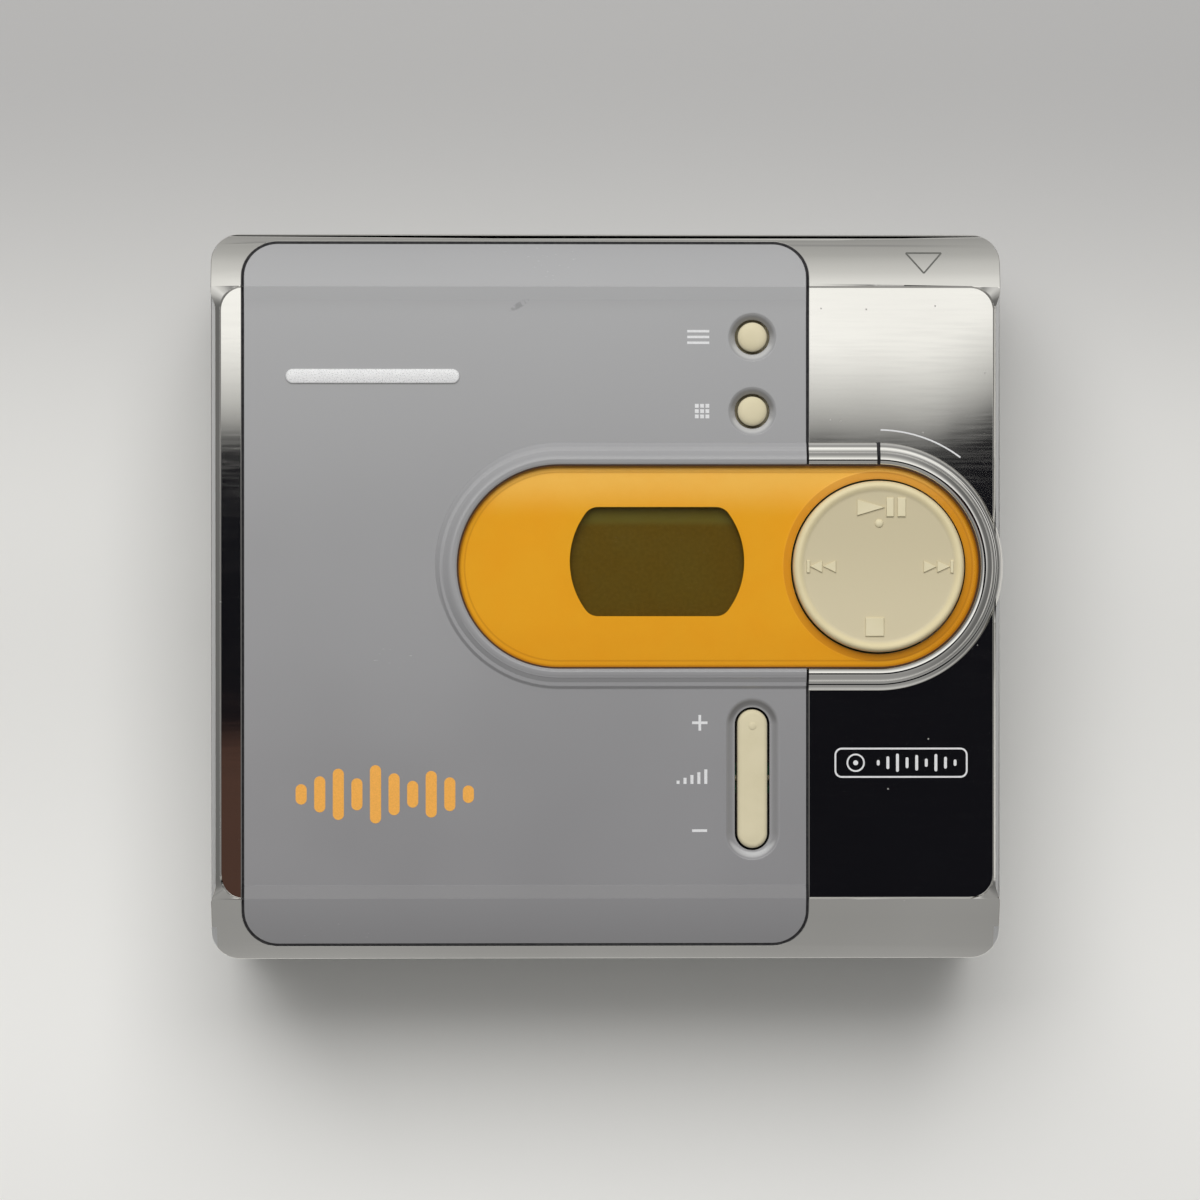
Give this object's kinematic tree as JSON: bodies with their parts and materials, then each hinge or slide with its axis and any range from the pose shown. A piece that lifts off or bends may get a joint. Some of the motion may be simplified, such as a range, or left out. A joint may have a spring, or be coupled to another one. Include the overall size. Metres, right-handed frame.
{
  "type": "portable minidisc player",
  "caption": "Pocket clamshell disc player: chrome lid with grey face panel, amber display window, tilting control dial, disc holder, playing deck, side battery door",
  "frame": {"origin": "middle of the rectangle the player stands on, at the underside of the rubber feet", "axes": "+X to the right of the face, +Y from the lid's hinge to its opening edge, +Z out of the face; the player lies on its back"},
  "size_m": [0.0824, 0.0754, 0.029],
  "materials": {
    "case_grey": "satin silver paint",
    "lid_chrome": "bright chrome plating on moulded plastic",
    "panel_grey": "glossy pale grey moulding",
    "amber_window": "clear amber window",
    "amber_mask": "opaque amber print",
    "display_glass": "dark olive display",
    "cream_plastic": "fine satin moulding",
    "white_plastic": "plain moulding",
    "black_plastic": "fine matte moulding",
    "rubber": "matte",
    "deck_steel": "zinc-plated sheet",
    "screw_steel": "bright",
    "spring_steel": "nickel-plated",
    "motor_can": "drawn can",
    "board_green": "solder mask",
    "cell_jacket": "plain printed jacket",
    "lens_glass": "coated lens"
  },
  "bodies": {
    "case": {"lower_case": "case_grey", "rubber_feet": "rubber", "case_screws": "screw_steel", "mid_frame": "black_plastic", "battery_cell": "cell_jacket", "battery_spring": "spring_steel", "door_pin": "screw_steel", "main_board": "board_green", "board_chips": "black_plastic", "deck_plate": "deck_steel", "dampers": "rubber", "deck_screws": "screw_steel", "spindle_motor": "motor_can", "guide_shafts": "screw_steel", "sled_motor": "motor_can", "headphone_jack": "black_plastic", "power_jack": "black_plastic", "data_jack": "motor_can", "hinge_pins": "screw_steel"},
    "lid": {"lid_frame": "lid_chrome", "hinge_barrel": "lid_chrome", "latch_hook": "deck_steel", "face_panel": "panel_grey", "display_window": "amber_window", "window_mask": "amber_mask", "display_holder": "white_plastic", "display_glass": "display_glass", "lid_board": "board_green", "button_mat": "rubber", "dial_base": "black_plastic", "disc_holder": "deck_steel", "holder_screws": "screw_steel"},
    "door": {"battery_door": "case_grey", "battery_contact": "spring_steel"},
    "spindle": {"turntable": "black_plastic"},
    "sled": {"pickup_sled": "black_plastic", "objective_lens": "lens_glass"},
    "screw": {"lead_screw": "screw_steel"},
    "pinion": {"drive_pinion": "white_plastic"},
    "open_switch": {"open_slider": "case_grey"},
    "hold_switch": {"hold_slider": "black_plastic"},
    "menu": {"menu_button": "cream_plastic"},
    "group": {"group_button": "cream_plastic"},
    "rocker": {"volume_rocker": "cream_plastic"},
    "carrier": {"dial_carrier": "white_plastic"},
    "dial": {"control_dial": "cream_plastic"}
  },
  "joints": [
    {"name": "lid_hinge", "type": "hinge", "parent": "case", "child": "lid", "pos_m": [0, -0.0352, 0.0186], "axis": [1, 0, 0], "range_deg": [0, 22]},
    {"name": "door_hinge", "type": "hinge", "parent": "case", "child": "door", "pos_m": [0.04025, -0.0196, 0.00905], "axis": [0, 0, 1], "range_deg": [0, 90]},
    {"name": "spindle_turn", "type": "hinge", "parent": "case", "child": "spindle", "pos_m": [0, 0.0024, 0.0159], "axis": [0, 0, 1], "continuous": true},
    {"name": "sled_slide", "type": "slide", "parent": "case", "child": "sled", "axis": [1, 0, 0], "range_m": [0, 0.0152]},
    {"name": "screw_turn", "type": "hinge", "parent": "case", "child": "screw", "pos_m": [0, -0.0104, 0.0118], "axis": [1, 0, 0], "range_deg": [0, 1825]},
    {"name": "pinion_turn", "type": "hinge", "parent": "case", "child": "pinion", "pos_m": [0, -0.0158, 0.0118], "axis": [1, 0, 0], "range_deg": [-3650, 0]},
    {"name": "open_slide", "type": "slide", "parent": "case", "child": "open_switch", "axis": [0, 1, 0], "range_m": [0, 0.0025], "stiffness_N_per_m": 150, "springref_m": -0.001},
    {"name": "hold_slide", "type": "slide", "parent": "case", "child": "hold_switch", "axis": [0, 1, 0], "range_m": [0, 0.002]},
    {"name": "menu_press", "type": "slide", "parent": "lid", "child": "menu", "axis": [0, 0, -1], "range_m": [0, 0.0004], "stiffness_N_per_m": 1000, "springref_m": -0.0003},
    {"name": "group_press", "type": "slide", "parent": "lid", "child": "group", "axis": [0, 0, -1], "range_m": [0, 0.0004], "stiffness_N_per_m": 1000, "springref_m": -0.0003},
    {"name": "volume_rock", "type": "hinge", "parent": "lid", "child": "rocker", "pos_m": [0.0152, -0.0189, 0.0253], "axis": [1, 0, 0], "range_deg": [-3, 3], "stiffness_Nm_per_rad": 0.03},
    {"name": "dial_tilt_up", "type": "hinge", "parent": "lid", "child": "carrier", "pos_m": [0.0283, 0.00316, 0.02585], "axis": [1, 0, 0], "range_deg": [-2.5, 2.5], "stiffness_Nm_per_rad": 0.04},
    {"name": "dial_tilt_side", "type": "hinge", "parent": "carrier", "child": "dial", "pos_m": [0.0283, 0.00316, 0.02585], "axis": [0, 1, 0], "range_deg": [-2.5, 2.5], "stiffness_Nm_per_rad": 0.04}
  ],
  "couplings": [
    {"joint": "screw_turn", "follows": "sled_slide", "rad_per_m": 2094.4},
    {"joint": "pinion_turn", "follows": "sled_slide", "rad_per_m": -4188.8}
  ]
}
